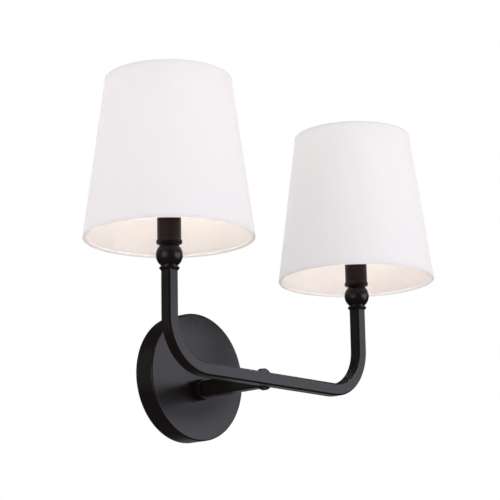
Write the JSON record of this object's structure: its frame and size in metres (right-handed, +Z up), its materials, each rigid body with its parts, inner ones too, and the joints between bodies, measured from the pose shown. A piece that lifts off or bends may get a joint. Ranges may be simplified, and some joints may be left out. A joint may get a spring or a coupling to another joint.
{
  "type": "double arm wall sconce",
  "caption": "Wall light with a round canopy, a square tube arm turned up at both ends, turned balls, candle sleeves and tapered fabric drum shades.",
  "frame": {"origin": "centre of the canopy's back, on the wall, midway between the strap's two screw slots", "axes": "+Y into the wall, +X to the right seen from the room, +Z up along the uprights; the shades' axes are parallel to Z"},
  "size_m": [0.425, 0.1978, 0.3173],
  "materials": {
    "dark_bronze": "satin black-bronze paint",
    "sleeve_enamel": "satin very dark brown enamel",
    "plated_steel": "zinc plated",
    "black_screws": "black oxide",
    "ground_green": "green lacquer",
    "brass_thread": "machined",
    "black_insulation": "matt",
    "white_insulation": "matt",
    "bare_copper": null,
    "connector_shell": "moulded orange",
    "black_moulding": "matt moulded",
    "shade_fabric": "fine plain weave",
    "shade_tape": "folded fabric tape",
    "shade_liner": "stiff sheet, warm white",
    "painted_wire": "white enamelled wire",
    "frosted_glass": "frosted",
    "black_glass": null,
    "solder": "soft solder"
  },
  "bodies": {
    "fixture": {"canopy": "dark_bronze", "mounting_strap": "plated_steel", "set_screws": "black_screws", "ground_screw": "ground_green", "stem_pipe": "brass_thread", "lock_washer": "plated_steel", "lock_nut": "plated_steel", "rear_collar": "dark_bronze", "stem_tube": "dark_bronze", "front_collar": "dark_bronze", "arm_tube": "dark_bronze", "hot_leads": "black_insulation", "neutral_leads": "white_insulation", "ground_lead": "bare_copper", "wire_connectors": "connector_shell", "left_arm_cap": "dark_bronze", "left_ball_knop": "dark_bronze", "left_socket_cup": "dark_bronze", "left_socket_nipple": "brass_thread", "left_nipple_nut": "plated_steel", "left_candle_sleeve": "sleeve_enamel", "left_holder_leg": "plated_steel", "left_lamp_holder": "black_moulding", "left_screw_shell": "brass_thread", "left_centre_contact": "brass_thread", "right_arm_cap": "dark_bronze", "right_ball_knop": "dark_bronze", "right_socket_cup": "dark_bronze", "right_socket_nipple": "brass_thread", "right_nipple_nut": "plated_steel", "right_candle_sleeve": "sleeve_enamel", "right_holder_leg": "plated_steel", "right_lamp_holder": "black_moulding", "right_screw_shell": "brass_thread", "right_centre_contact": "brass_thread"},
    "left_shade": {"left_shade_cover": "shade_fabric", "left_shade_liner": "shade_liner", "left_shade_tapes": "shade_tape", "left_shade_bottom_hoop": "painted_wire", "left_shade_top_hoop": "painted_wire", "left_shade_hub": "painted_wire", "left_shade_spokes": "painted_wire"},
    "left_ring": {"left_shade_ring": "black_moulding"},
    "left_bulb": {"left_bulb_glass": "frosted_glass", "left_bulb_cap": "brass_thread", "left_bulb_insulator": "black_glass", "left_bulb_tip": "solder"},
    "right_shade": {"right_shade_cover": "shade_fabric", "right_shade_liner": "shade_liner", "right_shade_tapes": "shade_tape", "right_shade_bottom_hoop": "painted_wire", "right_shade_top_hoop": "painted_wire", "right_shade_hub": "painted_wire", "right_shade_spokes": "painted_wire"},
    "right_ring": {"right_shade_ring": "black_moulding"},
    "right_bulb": {"right_bulb_glass": "frosted_glass", "right_bulb_cap": "brass_thread", "right_bulb_insulator": "black_glass", "right_bulb_tip": "solder"}
  },
  "joints": [
    {"name": "left_shade_lift", "type": "slide", "parent": "fixture", "child": "left_shade", "axis": [0, 0, 1], "range_m": [0, 0.16]},
    {"name": "left_ring_turn", "type": "hinge", "parent": "left_shade", "child": "left_ring", "pos_m": [-0.133, -0.1183, 0.1572], "axis": [0, 0, 1], "continuous": true},
    {"name": "left_bulb_lift", "type": "slide", "parent": "fixture", "child": "left_bulb", "axis": [0, 0, 1], "range_m": [0, 0.14]},
    {"name": "right_shade_lift", "type": "slide", "parent": "fixture", "child": "right_shade", "axis": [0, 0, 1], "range_m": [0, 0.16]},
    {"name": "right_ring_turn", "type": "hinge", "parent": "right_shade", "child": "right_ring", "pos_m": [0.133, -0.1183, 0.1572], "axis": [0, 0, 1], "continuous": true},
    {"name": "right_bulb_lift", "type": "slide", "parent": "fixture", "child": "right_bulb", "axis": [0, 0, 1], "range_m": [0, 0.14]}
  ]
}
